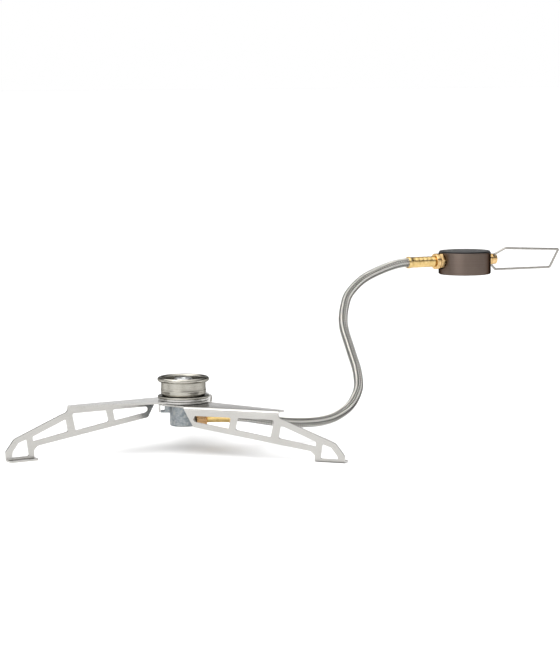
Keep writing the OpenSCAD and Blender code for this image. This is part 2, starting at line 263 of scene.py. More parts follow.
def turned_brass(name, axis, light, dark, low=0.14, high=0.32):
    """Brass turned on a lathe, with a thin tarnish that gathers in patches."""
    made = Shader(name, light, 1.0, 0.22, specular_tint=(0.6, 0.5, 0.4, 1))
    marks = made.lathe_marks(*axis, per_mm=5)
    tarnish = made.noise(0.45, detail=5)
    made.colour(made.ramp(tarnish, (0.32, dark), (0.62, light)))
    made.roughness(made.spread(marks, low, high))
    made.bump(marks, 0.008)
    return made.material


def hose_wire():
    """Stainless braid, its base colour painted: a painted highlight where a strand rides over the others,
    painted shade where it dives under and along its edges.

    The mesh carries two attributes: across, from -1 to 1 over a strand's width, and raised, which is high
    where the strand rides over the others and also holds a painted-light offset that darkens the second way.
    """
    made = Shader("hose_wire", (0.62, 0.6, 0.56), 1.0, 0.2, specular_tint=(0.05, 0.05, 0.05, 1))
    across = made.node("ShaderNodeAttribute", attribute_name="across").outputs["Fac"]
    raised = made.node("ShaderNodeAttribute", attribute_name="raised").outputs["Fac"]
    # Painted shade and highlight: the base colour goes near black where a strand dives under and towards its
    # edges, and bright on its crests.
    height = made.math("MULTIPLY_ADD", made.math("MULTIPLY", across, across), -0.9, raised)
    painted_light_and_shade = made.spread(height, 0, 1, -1.1, 1.0)
    made.colour(made.ramp(painted_light_and_shade, (0.32, (0.012, 0.011, 0.01)), (0.56, (0.13, 0.127, 0.115)),
                          (0.76, (0.93, 0.91, 0.86))))
    made.roughness(made.spread(made.noise(0.8, detail=4), 0.14, 0.26))
    wires = made.math("SINE", made.math("MULTIPLY", across, TAU * 2.5))     # five fine wires in a strand
    made.bump(wires, 0.05, 0.8)
    return made.material


def hose_liner_plastic():
    """Dark plastic that shows only in the gaps of the braid."""
    made = Shader("hose_liner", (0.05, 0.048, 0.045), 0.0, 0.5)
    made.bump(made.noise(2, detail=2), 0.02)
    return made.material


def anodised_ring():
    """Brown-grey anodised aluminium with fine turned lines."""
    made = Shader("anodised_ring", (0.15, 0.115, 0.1), 1.0, 0.4, specular_tint=(0.06, 0.06, 0.06, 1))
    marks = made.lathe_marks(*RING_AXIS, per_mm=4, detail=3)
    made.colour(made.ramp(marks, (0.3, (0.125, 0.095, 0.08)), (0.7, (0.165, 0.13, 0.11))))
    made.roughness(made.spread(marks, 0.34, 0.46))
    made.bump(marks, 0.012)
    made.turned(0.85)
    return made.material


def black_cap():
    """Dull black plate that closes the ring."""
    made = Shader("black_cap", (0.006, 0.006, 0.007), 0.0, 0.4, specular_ior_level=0.12)
    marks = made.lathe_marks(*RING_AXIS, per_mm=2)
    made.roughness(made.spread(marks, 0.32, 0.5))
    made.bump(made.noise(4, detail=3), 0.01)
    return made.material


def drawn_wire():
    """Stainless wire, its grain along the handle."""
    made = Shader("drawn_wire", (0.34, 0.325, 0.3), 1.0, 0.22, specular_tint=(0.15, 0.15, 0.15, 1))
    grain = made.noise(1.4, detail=4, stretch=(10, 1, 1), turn=(0, 0, VALVE_TURN))
    made.roughness(made.spread(grain, 0.16, 0.3))
    made.bump(grain, 0.01)
    return made.material


def dark_steel():
    """Washers between the legs, seen only from the side."""
    made = Shader("dark_steel", (0.25, 0.24, 0.23), 1.0, 0.35)
    made.roughness(made.spread(made.lathe_marks(*HUB_AXIS, per_mm=4), 0.28, 0.45))
    return made.material


def machined_core():
    """Bare metal round the canister's thread, under the ring."""
    made = Shader("machined_core", (0.6, 0.59, 0.57), 1.0, 0.28)
    marks = made.lathe_marks(*RING_AXIS, per_mm=4)
    made.roughness(made.spread(marks, 0.2, 0.38))
    made.bump(marks, 0.01)
    return made.material


def seal_rubber():
    """Black O-rings."""
    made = Shader("seal_rubber", (0.02, 0.02, 0.02), 0.0, 0.6)
    made.bump(made.noise(6, detail=2), 0.01)
    return made.material


# -------------------- mesh helpers

def add_mesh(name, vertices, faces, material, smooth_angle=32):
    """A mesh object in the frame, with edges sharper than the angle kept crisp."""
    mesh = bpy.data.meshes.new(name)
    mesh.from_pydata([tuple(v) for v in vertices], [], faces)
    mesh.validate()
    mesh.update()
    tidy = bmesh.new()
    tidy.from_mesh(mesh)
    bmesh.ops.remove_doubles(tidy, verts=tidy.verts, dist=1e-7)
    bmesh.ops.recalc_face_normals(tidy, faces=tidy.faces)
    tidy.to_mesh(mesh)
    tidy.free()
    mesh.shade_smooth()
    mesh.set_sharp_from_angle(angle=math.radians(smooth_angle))
    mesh.materials.append(material)
    made = bpy.data.objects.new(name, mesh)
    bpy.context.scene.collection.objects.link(made)
    return made


def put(piece, body, slot, *nodes):
    """Rides the piece on its body and hides the CAD nodes it stands for. The slot is not used."""
    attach(piece, body)
    if nodes:
        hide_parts(*nodes)
    return piece


def rounded(points, radius, steps=5):
    """The closed outline with each corner turned into an arc. A point may carry its own radius."""
    made = []
    count = len(points)
    for i, point in enumerate(points):
        r = point[2] if len(point) > 2 else radius
        here = Vector(point[:2])
        before = Vector(points[i - 1][:2]) - here
        after = Vector(points[(i + 1) % count][:2]) - here
        if r <= 0 or before.length < 1e-9 or after.length < 1e-9:
            made.append(tuple(here))
            continue
        half = before.angle(after) / 2
        if half > math.radians(88) or half < math.radians(2):
            made.append(tuple(here))
            continue
        back = min(r / math.tan(half), 0.49 * before.length, 0.49 * after.length)
        r = back * math.tan(half)
        centre = here + (before.normalized() + after.normalized()).normalized() * (r / math.sin(half))
        start = here + before.normalized() * back - centre
        sweep = -start.angle_signed(here + after.normalized() * back - centre)
        for k in range(steps + 1):
            a = math.atan2(start.y, start.x) + sweep * k / steps
            made.append((centre.x + r * math.cos(a), centre.y + r * math.sin(a)))
    return made


def axis_matrix(axis):
    """Lays +Z along an axis given as a point and a turn."""
    point, turn = axis
    x, y, z = turn
    spin = Matrix.Rotation(z, 4, "Z") @ Matrix.Rotation(y, 4, "Y") @ Matrix.Rotation(x, 4, "X")
    return Matrix.Translation(point) @ spin


def lathe(name, outline, material, axis, sides, smooth_angle=32, turn=0.0):
    """The closed outline of (radius, along) in mm, turned round the axis.

    An outline that changes round the axis, as a thread's does, is a function of the angle. The whole piece
    can be given a turn about the axis.
    """
    place = axis_matrix(axis)
    shape = outline if callable(outline) else lambda angle: outline
    vertices = []
    for k in range(sides):
        a = TAU * k / sides
        for r, along in shape(a):
            spot = Vector((r * math.cos(a + turn), r * math.sin(a + turn), along))
            vertices.append(place @ (spot * MM))
    outline = shape(0)
    count = len(outline)
    faces = []
    for k in range(sides):
        for i in range(count):
            j = (i + 1) % count
            n = (k + 1) % sides
            if outline[i][0] < 1e-9 and outline[j][0] < 1e-9:
                continue
            faces.append((k * count + i, n * count + i, n * count + j, k * count + j))
    return add_mesh(name, vertices, faces, material, smooth_angle)


def hex_nut(name, flats, start, end, bore, material, axis, turn=0.0):
    """A hexagonal nut whose corners are cut back by the usual 30 degree chamfer at both ends."""
    sixth = math.radians(60)
    apothem = flats / 2
    corner = apothem / math.cos(sixth / 2)
    chamfer = (corner - apothem) / math.tan(sixth) + 0.12
    depths = [chamfer * k / 5 for k in range(6)]
    rows = [start + d for d in depths] + [end - d for d in reversed(depths)]

    def outline(angle):
        off = (angle + sixth / 2) % sixth - sixth / 2
        skin = []
        for row in rows:
            limit = apothem - 0.2 + min(row - start, end - row) * math.tan(sixth)
            skin.append((min(apothem / math.cos(off), limit), row))
        return [(bore, start)] + skin + [(bore, end)]
    return lathe(name, outline, material, axis, 96, 25, turn)


def carve(piece, *cutters):
    """Cuts the cutters out of the piece and clears them away."""
    for cutter in cutters:
        cut = piece.modifiers.new("cut", "BOOLEAN")
        cut.operation = "DIFFERENCE"
        cut.solver = "EXACT"
        cut.object = cutter
    bpy.context.view_layer.update()
    seen = piece.evaluated_get(bpy.context.evaluated_depsgraph_get())
    mesh = bpy.data.meshes.new_from_object(seen)
    piece.modifiers.clear()
    materials = list(piece.data.materials)
    piece.data = mesh
    mesh.materials.clear()
    for material in materials:
        mesh.materials.append(material)
    for polygon in mesh.polygons:
        polygon.material_index = 0
    mesh.shade_smooth()
    mesh.set_sharp_from_angle(angle=math.radians(30))
    for cutter in cutters:
        bpy.data.objects.remove(cutter)
    return piece


def block(name, low, high, material, edge=0.3, place=Matrix.Identity(4)):
    """A block between two corners in mm with rounded edges."""
    made = bmesh.new()
    bmesh.ops.create_cube(made, size=1)
    for v in made.verts:
        v.co = Vector([(low[k] if v.co[k] < 0 else high[k]) for k in range(3)])
    if edge:
        bmesh.ops.bevel(made, geom=made.edges[:], offset=edge, segments=3, affect="EDGES", profile=0.5)
    for v in made.verts:
        v.co = place @ (v.co * MM)
    vertices = [v.co.copy() for v in made.verts]
    faces = [tuple(v.index for v in f.verts) for f in made.faces]
    made.free()
    return add_mesh(name, vertices, faces, material, 40)


def break_edges(piece, width_mm=0.14):
    """Rounds the sharp edges of a sheet piece a little, as tumbling does."""
    broken = piece.modifiers.new("broken_edges", "BEVEL")
    broken.width = width_mm * MM
    broken.segments = 2
    broken.limit_method = "ANGLE"
    broken.angle_limit = math.radians(50)
    return piece


def thick_line(path, thickness):
    """The closed outline of a sheet whose middle runs along the path."""
    p = np.array(path, float)
    run = np.gradient(p, axis=0)
    run /= np.linalg.norm(run, axis=1)[:, None]
    off = np.stack([-run[:, 1], run[:, 0]], axis=1) * thickness / 2
    return [tuple(q) for q in p + off] + [tuple(q) for q in (p - off)[::-1]]


def arc(centre, radius, start, end, steps):
    """Points of an arc between two angles in degrees."""
    x, y = centre
    return [(x + radius * math.cos(a), y + radius * math.sin(a))
            for a in np.radians(np.linspace(start, end, steps))]


# -------------------- hose

# The hose's own route, in mm, with the height above the ground in the third place
ROUTE = [
    (18, 0, 19), (24, 0, 19), (28.5, 0, 19), (36, 0.8, 18.4), (43.9, 4, 16.7), (52.9, 9, 14.6),
    (64.9, 17, 12.5), (75.9, 26, 11.5), (83.9, 33, 11.9), (89.9, 39, 13.4), (95.9, 47, 16.3),
    (100, 54, 20.3), (103, 63, 26.3), (103, 71, 32.3), (102.1, 78, 37.3), (100.1, 86, 43.3),
    (98.2, 94, 49.3), (96.2, 101, 55.3), (95.2, 107, 60.3), (95.3, 112, 65.3), (96.3, 117, 70.3),
    (98.3, 122, 76.3), (102.4, 126, 81.3), (107.4, 128.5, 85.8), (113.4, 131, 89.2),
    (120.5, 133.5, 92.2), (126.8, 135.9, 94.3), (132.6, 138.5, 95.5), (136.6, 140.42, 95.7),
    (142.6, 143.22, 95.7), (148.83, 146.12, 95.7),
]
HOSE_D = 5.7


def smooth_line(points, step_mm):
    """A Catmull-Rom line through the points, resampled at an even step."""
    p = np.array([points[0]] + list(points) + [points[-1]], float)
    fine = []
    for a, b, c, d in zip(p, p[1:], p[2:], p[3:]):
        for t in np.linspace(0, 1, 40, endpoint=False):
            fine.append(0.5 * (2 * b + (c - a) * t + (2 * a - 5 * b + 4 * c - d) * t * t
                               + (3 * b - a - 3 * c + d) * t ** 3))
    fine.append(p[-1])
    fine = np.array(fine)
    for _ in range(60):      # takes the small waves out of the listed points
        fine[1:-1] = 0.25 * fine[:-2] + 0.5 * fine[1:-1] + 0.25 * fine[2:]
    gone = np.concatenate([[0], np.cumsum(np.linalg.norm(np.diff(fine, axis=0), axis=1))])
    at = np.linspace(0, gone[-1], int(gone[-1] / step_mm) + 1)
    line = np.stack([np.interp(at, gone, fine[:, k]) for k in range(3)], axis=1)
    return line, at


def line_frames(line):
    """Two directions across the line at each point, carried along it without twist."""
    along = np.gradient(line, axis=0)
    along /= np.linalg.norm(along, axis=1)[:, None]
    side = np.zeros_like(line)
    side[0] = (0, 1, 0)
    for i in range(1, len(line)):
        s = side[i - 1] - along[i] * np.dot(side[i - 1], along[i])
        side[i] = s / np.linalg.norm(s)
    return along, side, np.cross(along, side)


def tube_mesh(name, line, outer, inner, material, sides=24):
    """A pipe along the line, open through its bore."""
    _, side, up = line_frames(line)
    angle = np.linspace(0, TAU, sides, endpoint=False)
    shape = np.cos(angle)[None, :, None] * side[:, None, :] + np.sin(angle)[None, :, None] * up[:, None, :]
    rings = [line[:, None, :] + shape * r for r in (outer, inner)]
    vertices = np.concatenate([ring.reshape(-1, 3) for ring in rings]) * MM
    count = len(line)
    half = count * sides
    faces = []
    for i in range(count - 1):
        for k in range(sides):
            a, b = i * sides + k, i * sides + (k + 1) % sides
            faces.append((a, b, b + sides, a + sides))
            faces.append((half + a, half + a + sides, half + b + sides, half + b))
    for start in (0, (count - 1) * sides):
        for k in range(sides):
            a, b = start + k, start + (k + 1) % sides
            faces.append((a, b, half + b, half + a))
    return add_mesh(name, vertices, faces, material, 60)


def add_hose():
    """Ten flat strands wound each way over the liner, two over and two under."""
    step = 0.23
    line, at = smooth_line(ROUTE, step)
    line[:, 2] += GROUND / MM
    _, side, up = line_frames(line)
    strands = 10
    half_t = 0.14
    wave = 0.23
    mid_r = HOSE_D / 2 - wave - half_t
    half_w = 0.45
    lay = 1.0                      # tangent of the angle between strand and hose
    crossings = strands * lay * at / mid_r / math.pi
    section = [(-1, -0.8), (-0.85, 0.5), (-0.45, 1), (0.45, 1), (0.85, 0.5), (1, -0.8)]
    vertices, faces, across, raised = [], [], [], []
    for way, painted_light_offset in ((1, 0.3), (-1, -0.4)):      # painted light: strands wound the second way are painted darker
        for i in range(strands):
            turn = TAU * i / strands + way * lay * at / mid_r
            phase = 2 * i + way * crossings + 0.5
            over = way * np.sin(math.pi / 2 * phase)
            r = mid_r + wave * over
            base = len(vertices)
            for w, h in section:
                # A strand's width lies across its own run, so part of it is round the hose and part along it
                shift = w * half_w / math.sqrt(1 + lay * lay)
                round_by = turn + shift / mid_r
                radius = (r + h * half_t)[:, None]
                along_by = -way * lay * shift
                centre = np.stack([np.interp(np.clip(at + along_by, 0, at[-1]), at, line[:, k])
                                   for k in range(3)], axis=1)
                spot = centre + radius * (np.cos(round_by)[:, None] * side + np.sin(round_by)[:, None] * up)
                vertices.extend((spot * MM).tolist())
                across.extend([w] * len(at))
                # raised carries the painted-light offset of each way as well as the weave
                raised.extend((over + painted_light_offset).tolist())
            count, corners = len(at), len(section)
            for k in range(corners):
                n = (k + 1) % corners
                a, b = base + k * count, base + n * count
                faces.extend((a + j, b + j, b + j + 1, a + j + 1) for j in range(count - 1))
            faces.append(tuple(base + k * count for k in reversed(range(corners))))
            faces.append(tuple(base + k * count + count - 1 for k in range(corners)))
    mesh = bpy.data.meshes.new("hose_braid_woven")
    mesh.from_pydata(vertices, [], faces)
    mesh.update()
    mesh.attributes.new("across", "FLOAT", "POINT").data.foreach_set("value", across)
    mesh.attributes.new("raised", "FLOAT", "POINT").data.foreach_set("value", raised)
    mesh.shade_smooth()
    mesh.set_sharp_from_angle(angle=math.radians(50))
    mesh.materials.append(hose_wire())
    braid = bpy.data.objects.new("hose_braid_woven", mesh)
    bpy.context.scene.collection.objects.link(braid)
    put(braid, "base", "braid", "hose_braid")
    liner_line, _ = smooth_line(ROUTE, 2.0)
    liner_line[:, 2] += GROUND / MM
    liner = tube_mesh("hose_liner_tube", liner_line, 1.95, 1.3, hose_liner_plastic())
    put(liner, "base", "liner", "hose_liner")


# -------------------- legs

SEAT_Z = 26.6                # height of the lowest leg's flange above the ground
LEVEL_PITCH = 1.4            # one sheet and one washer
SHEET = 1.0
WEB_SIDE = 18.6
WEB_END = 65.7
BEND_MID_R = 1.25
SLEEVE_CLEAR_R = 7.05
LEG_RING_R = 14.6
NOTCH = (68.5, 25.7)         # where the flange's end is cut clear of the web
NOTCH_R = 2.8
LEG_REACH = 105
FOOT_START = 87.4
FOOT_W = 7.0
RIGHT_AZIMUTH, LEFT_AZIMUTH, REAR_AZIMUTH = -21, 212, 103


def leg_pattern(level):
    """The leg before it is folded: outline and holes as (along the leg, across the folds) in mm.

    Across the folds, 0 is where the flange's flat starts, positive into the flange and negative down the web.
    A leg higher in the stack has everything but its foot raised by the same amount.
    """
    lift = level - SEAT_Z
    fold = WEB_SIDE - SHEET / 2 - BEND_MID_R      # distance of the flange's flat from the leg's centre line
    quarter = BEND_MID_R * math.pi / 2
    web_top = level + SHEET / 2 - BEND_MID_R      # height at which the web's flat starts
    web_foot = SHEET / 2 + BEND_MID_R             # and ends

    def flange(u, v):
        return (u, v + fold)

    def web(u, z, up=0.0):
        return (u, -quarter - (web_top - max(z + up, web_foot)))

    foot_fold = web(0, web_foot)[1] - quarter
    foot_edge = foot_fold - (FOOT_W - SHEET / 2 - BEND_MID_R)
    ring = [flange(LEG_RING_R * math.cos(a), LEG_RING_R * math.sin(a))
            for a in np.radians(np.linspace(244, 18, 40))]
    corner = rounded([flange(14, 4.2), (*flange(68.4, -13.2), 1.6), (*flange(WEB_END, -fold), 0.6),
                      web(WEB_END, web_top)], 0)[1:-1]
    notch = [web(NOTCH[0] + NOTCH_R * math.cos(a), NOTCH[1] + NOTCH_R * math.sin(a), lift)
             for a in np.radians(np.linspace(180, 252, 7))]
    lower = rounded([
        notch[-1], (*web(69.4, 22.55, lift), 2), (*web(99.7, 10.9, lift), 4), (*web(105.2, 4.1, lift), 2.5),
        web(LEG_REACH, web_foot), (LEG_REACH, foot_fold), (LEG_REACH, foot_edge, 1.5),
        (FOOT_START, foot_edge, 1.5), (FOOT_START, foot_fold), web(FOOT_START, web_foot),
        (*web(FOOT_START, 3.7, lift), 1.2), (*web(85, 5.9, lift), 2.5), (*web(13.8, 16.2, lift), 1.2),
        web(9.2, 24, lift),
    ], 0)[1:-1]
    outline = [flange(7.1, -fold)] + ring + corner + [web(WEB_END, 26, lift)] + notch + lower
    holes = [
        [flange(SLEEVE_CLEAR_R * math.cos(a), SLEEVE_CLEAR_R * math.sin(a))
         for a in np.linspace(0, TAU, 64, endpoint=False)],
        rounded([(*web(13.85, 22.6, lift), 1.8), web(36.9, 22.6, lift), web(35.5, 16.1, lift),
                 (*web(13.85, 19.3, lift), 1.6)], 0.9),
        rounded([web(41, 22.5, lift), web(63.1, 22.5, lift), web(61, 12.5, lift),
                 web(39.4, 15.8, lift)], 1.1),
        rounded([web(67, 19.6, lift), web(88.3, 11.3, lift), web(88, 8.6, lift), web(65.7, 12.3, lift)], 0.9),
        rounded([web(91.9, 10.2, lift), web(97.1, 8.5, lift), web(100.8, 3.8, lift), web(101.2, 2),
                 web(90.6, 2)], 0.8),
    ]
    folds = [0, -quarter, web(0, web_foot)[1], foot_fold]
    return outline, holes, folds, fold, web_top


def inside(point, ring):
    """Whether the point lies in the closed outline."""
    x, y = point
    found = False
    for (ax, ay), (bx, by) in zip(ring, ring[1:] + ring[:1]):
        if (ay > y) != (by > y) and x < (bx - ax) * (y - ay) / (by - ay) + ax:
            found = not found
    return found


def fold_sheet(u, s, offset, folds, fold, web_top):
    """Where a point of the flat pattern goes once the sheet is folded, offset along its normal, in mm."""
    quarter = -folds[1]
    r = BEND_MID_R
    bend_z = web_top                      # height of the top bend's centre
    foot_z = SHEET / 2 + r                # and of the foot bend's
    if s >= folds[0]:
        return u, -fold + s, bend_z + r + offset
    if s >= folds[1]:
        a = -s / quarter * math.pi / 2
        return u, -fold - (r + offset) * math.sin(a), bend_z + (r + offset) * math.cos(a)
    if s >= folds[2]:
        return u, -fold - r - offset, bend_z + (s - folds[1])
    if s >= folds[3]:
        a = (folds[2] - s) / quarter * math.pi / 2
        return u, -fold - (r + offset) * math.cos(a), foot_z - (r + offset) * math.sin(a)
    return u, -fold + (folds[3] - s), foot_z - r - offset


def add_leg(node, body, azimuth, level):
    """One leg, cut flat with its windows, folded twice and given its thickness and broken edges."""
    outline, holes, folds, fold, web_top = leg_pattern(level)
    rings = [outline] + holes
    points, edges = [], []
    for ring in rings:
        start = len(points)
        points.extend(Vector(p) for p in ring)
        edges.extend((start + i, start + (i + 1) % len(ring)) for i in range(len(ring)))
    flat, _, triangles, *_ = geometry.delaunay_2d_cdt(points, edges, [], 0, 1e-5)
    kept = []
    for triangle in triangles:
        middle = sum((flat[i] for i in triangle), Vector((0, 0))) / 3
        if inside(middle, outline) and not any(inside(middle, hole) for hole in holes):
            kept.append(triangle)
    sheet = bmesh.new()
    corners = [sheet.verts.new((p.x, p.y, 0)) for p in flat]
    for triangle in kept:
        sheet.faces.new([corners[i] for i in triangle])
    for low, high in ((folds[1], folds[0]), (folds[3], folds[2])):
        for s in np.linspace(low, high, 7):
            bmesh.ops.bisect_plane(sheet, geom=sheet.verts[:] + sheet.edges[:] + sheet.faces[:],
                                   plane_co=(0, s, 0), plane_no=(0, 1, 0))
    loose = [v for v in sheet.verts if not v.link_faces]
    bmesh.ops.delete(sheet, geom=loose, context="VERTS")
    sheet.verts.index_update()
    turn = Matrix.Translation((0, 0, GROUND)) @ Matrix.Rotation(math.radians(azimuth), 4, "Z")
    patterns = [(v.co.x, v.co.y) for v in sheet.verts]
    vertices = []
    for offset in (SHEET / 2, -SHEET / 2):
        for u, s in patterns:
            x, y, z = fold_sheet(u, s, offset, folds, fold, web_top)
            vertices.append(turn @ Vector((x * MM, y * MM, z * MM)))
    count = len(patterns)
    faces = []
    for face in sheet.faces:
        loop = [v.index for v in face.verts]
        faces.append(tuple(loop))
        faces.append(tuple(count + i for i in reversed(loop)))
    for edge in sheet.edges:
        if len(edge.link_faces) == 1:
            a, b = (v.index for v in edge.verts)
            faces.append((a, b, count + b, count + a))
    sheet.free()
    leg = add_mesh(node + "_sheet", vertices, faces, leg_steel(azimuth), 35)
    return put(break_edges(leg), body, "leg_steel", node)


def add_tab(material):
    """The right leg's tab, folded down from its ring to hook behind the hub's lug."""
    path = [(-12.2, 27.1), (-13.0, 27.1)] + arc((-13.0, 26.2), 0.9, 90, 180, 6) + [(-13.9, 25), (-13.9, 21.8)]
    section = thick_line(path, 0.96)
    half = 2.2
    vertices = [Vector((x * MM, y * MM, z * MM + GROUND)) for y in (-half, half) for x, z in section]
    count = len(section)
    faces = [(i, (i + 1) % count, count + (i + 1) % count, count + i) for i in range(count)]
    faces += [tuple(range(count)), tuple(range(count, 2 * count))]
    tab = add_mesh("right_leg_tab", vertices, faces, material, 35)
    put(break_edges(tab), "base", "leg_steel")


def add_legs():
    """The three legs at their directions in plan, each a level above the one before."""
    right = add_leg("right_leg", "base", RIGHT_AZIMUTH, SEAT_Z)
    add_leg("left_leg", "left_leg", LEFT_AZIMUTH, SEAT_Z + LEVEL_PITCH)
    add_leg("rear_leg", "rear_leg", REAR_AZIMUTH, SEAT_Z + 2 * LEVEL_PITCH)
    add_tab(right.data.materials[0])


# -------------------- hub, cup and post

# Heights above the ground, in mm
HUB_FOOT = 14.0
HUB_R = 8.1
RETAINER_Z = 30.6
CUP_FLOOR = 31.6
CUP_R = 12.95
CUP_T = 0.6
RIM_Z = 41.0
POST_TOP = 41.5
POST_R = 5.55
THREAD_PITCH = 25.4 / 28
THREAD_DEPTH = 0.5
HUB_SEAT = 7.6               # where the hose nut sits, and where it ends, out from the hub axis
HUB_NUT_END = 13.5
STAND = ((0, 0, GROUND), (0, 0, 0))          # the hub axis, measured from the ground up


def thread_rows(crest, inward, low, high, angle, runout=1.2):
    """Rows of (radius, height) down a thread. Inward is 1 for a male thread and -1 for a female one."""
    rows = []
    steps = int((high - low) / THREAD_PITCH * 10)
    for i in range(steps + 1):
        z = low + (high - low) * i / steps
        turn = (z / THREAD_PITCH - angle / TAU) % 1
        wave = min(1, max(0, abs(turn - 0.5) * 2 * 1.35 - 0.18))
        fade = min(1, (z - low) / runout + 0.05, (high - z) / 0.5 + 0.15)
        rows.append((crest - inward * THREAD_DEPTH * (1 - (1 - wave) * fade) if inward > 0
                     else crest + THREAD_DEPTH * (1 - wave) * fade, z))
    return rows


def add_hub(material):
    """The casting: a soft-edged body with a flange, a spot face for the hose nut, and the tab's lug."""
    body = lathe("hub_body", rounded([
        (0, HUB_FOOT, 0), (HUB_R, HUB_FOOT, 0.9), (HUB_R, SEAT_Z - 1, 0.5), (9.6, SEAT_Z - 1, 0.25),
        (9.6, SEAT_Z, 0.2), (7, SEAT_Z, 0), (7, CUP_FLOOR, 0.2), (0, CUP_FLOOR, 0)], 0.2),
        material, STAND, 160, 30)
    face = lathe("cut_face", [(0, HUB_SEAT), (5.6, HUB_SEAT), (5.6, 12), (0, 12)], material, OUTLET_AXIS, 64)
    port = lathe("cut_port", [(0, 3), (3.05, 3), (3.05, 9), (0, 9)], material, OUTLET_AXIS, 48)
    seal = lathe("cut_seal", [(0, 30.2), (5.5, 30.2), (5.5, 33), (0, 33)], material, STAND, 64)
    put(carve(body, face, port, seal), "base", "cast_hub", "hub_casting")
    ground = Matrix.Translation((0, 0, GROUND))
    lug = block("hub_lug", (-10.9, -2.2, 21.6), (-6.9, 2.2, 25.8), material, 0.35, ground)
    lip = block("hub_lug_lip", (-13.2, -2.2, 21.6), (-10.2, 2.2, 22.8), material, 0.3, ground)
    put(lug, "base", "cast_hub")
    put(lip, "base", "cast_hub")


def add_cup(material):
    """Drawn cup with a bead low on its wall and its rim curled outward."""
    wall = CUP_R - CUP_T / 2
    curl_r = 1.4 - CUP_T / 2
    curl = (CUP_R + 0.6, RIM_Z)
    path = [(4.4, CUP_FLOOR + 0.3), (8, CUP_FLOOR + 0.3)]
    path += arc((wall - 1.3, CUP_FLOOR + 1.6), 1.3, -90, 0, 8)
    path += [(wall, 33.9), (wall + 0.1, 34.2), (wall + 0.22, 34.6), (wall + 0.1, 35.0), (wall, 35.3)]
    path += [(wall - 0.05, 36.5), (wall - 0.08, 38), (wall - 0.08, 39), (wall - 0.12, 39.9)]
    path += arc(curl, curl_r, 188, -105, 26)
    cup = lathe("cup_shell", thick_line(path, CUP_T - 0.05), material, STAND, 160, 40)
    put(cup, "base", "cup_steel", "stove_cup")
    retainer = rounded([(SLEEVE_CLEAR_R, RETAINER_Z), (14.85, RETAINER_Z), (14.85, RETAINER_Z + 1),
                        (SLEEVE_CLEAR_R, RETAINER_Z + 1)], 0.25)
    ring = lathe("retaining_ring_turned", retainer, material, STAND, 160, 40)
    put(ring, "base", "cup_steel", "retaining_ring")


def add_post(material):
    """The stove's thread: a real helix, 28 to the inch, on a shouldered post with a bore."""
    def outline(angle):
        rows = thread_rows(POST_R, 1, 34.1, POST_TOP - 0.5, angle)
        foot = [(1.5, 24.4), (4, 24.4), (4, 32.2), (7.3, 32.2), (7.5, 32.4), (7.5, 33.4), (7.2, 33.7),
                (5.05, 33.75)]
        return foot + rows + [(4.75, POST_TOP), (1.9, POST_TOP), (1.5, POST_TOP - 0.4)]
    put(lathe("post_threaded", outline, material, STAND, 120, 28), "base", "post_metal", "threaded_post")


# -------------------- hose fittings

NUT_FLATS = 8.6
NUT_LEN = 4.6
COLLAR_LEN = 3.0
COUPLER_SEAT = 14.5
HUB_FERRULE_LEN = 14.8
COUPLER_FERRULE_LEN = 19.5
HOSE_SIDE = (VALVE_POINT, (0, math.radians(90), VALVE_TURN + math.pi))


def add_ferrule(name, start, length, crimps, axis, material, node):
    """A crimped sleeve: shallow crimp rings along it and a lip at the hose's mouth."""
    end = start + length
    outline = [(1.3, start), (3.1, start), (3.4, start + 0.3)]
    for k in range(crimps):
        at = start + 2.6 + 3 * k
        outline += [(3.42, at - 0.75), (3.36, at - 0.35), (3.33, at), (3.36, at + 0.35), (3.42, at + 0.75)]
    outline += [(3.45, end - 2.3), (3.6, end - 2.1), (3.74, end - 1.7), (3.75, end - 0.5), (3.6, end - 0.1),
                (3.3, end), (3.0, end - 0.15), (2.9, end - 0.6), (2.9, start + 3.5), (1.3, start + 3.5)]
    put(lathe(name, outline, material, axis, 96, 38), "base", "brass_ferrule", node)


def add_fittings(nut_brass, ferrule_brass, far_nut, far_ferrule):
    """Union nuts, ferrules and the collar at the two ends of the hose."""
    near = hex_nut("hub_nut_hex", NUT_FLATS, HUB_SEAT, HUB_NUT_END, 1.0, nut_brass, OUTLET_AXIS,
                   math.radians(18))
    put(near, "base", "brass_fitting", "hub_nut")
    add_ferrule("hub_ferrule_crimped", HUB_NUT_END, HUB_FERRULE_LEN, 3, OUTLET_AXIS, ferrule_brass,
                "hub_ferrule")
    start = COUPLER_SEAT + NUT_LEN
    far = hex_nut("coupler_nut_hex", NUT_FLATS, COUPLER_SEAT, start, 1.0, far_nut, HOSE_SIDE, 0.2)
    put(far, "base", "brass_fitting", "coupler_nut")
    collar = rounded([(1, start), (5, start), (5, start + COLLAR_LEN), (1, start + COLLAR_LEN)], 0.5)
    turned = lathe("coupler_collar_turned", collar, far_nut, HOSE_SIDE, 96, 40)
    put(turned, "base", "brass_fitting", "coupler_collar")
    add_ferrule("coupler_ferrule_crimped", start + COLLAR_LEN, COUPLER_FERRULE_LEN, 5, HOSE_SIDE,
                far_ferrule, "coupler_ferrule")


# -------------------- coupler, stem and handle

RING_R = 16.7
RING_Z = 87.0
SKIRT_Z = RING_Z + 3.2       # roof of the groove that takes the canister's rim
SPIGOT_Z = RING_Z + 6.2
CAP_Z = RING_Z + 13.9
CAP_T = 0.8
COUPLER = ((RING_CENTRE.x, RING_CENTRE.y, GROUND), (0, 0, 0))
STEM_END = 22.6
WIRE_R = 0.7
HINGE_AT = 20.4
LOOP_LEAN = 49
LOOP_SWING = 2.4


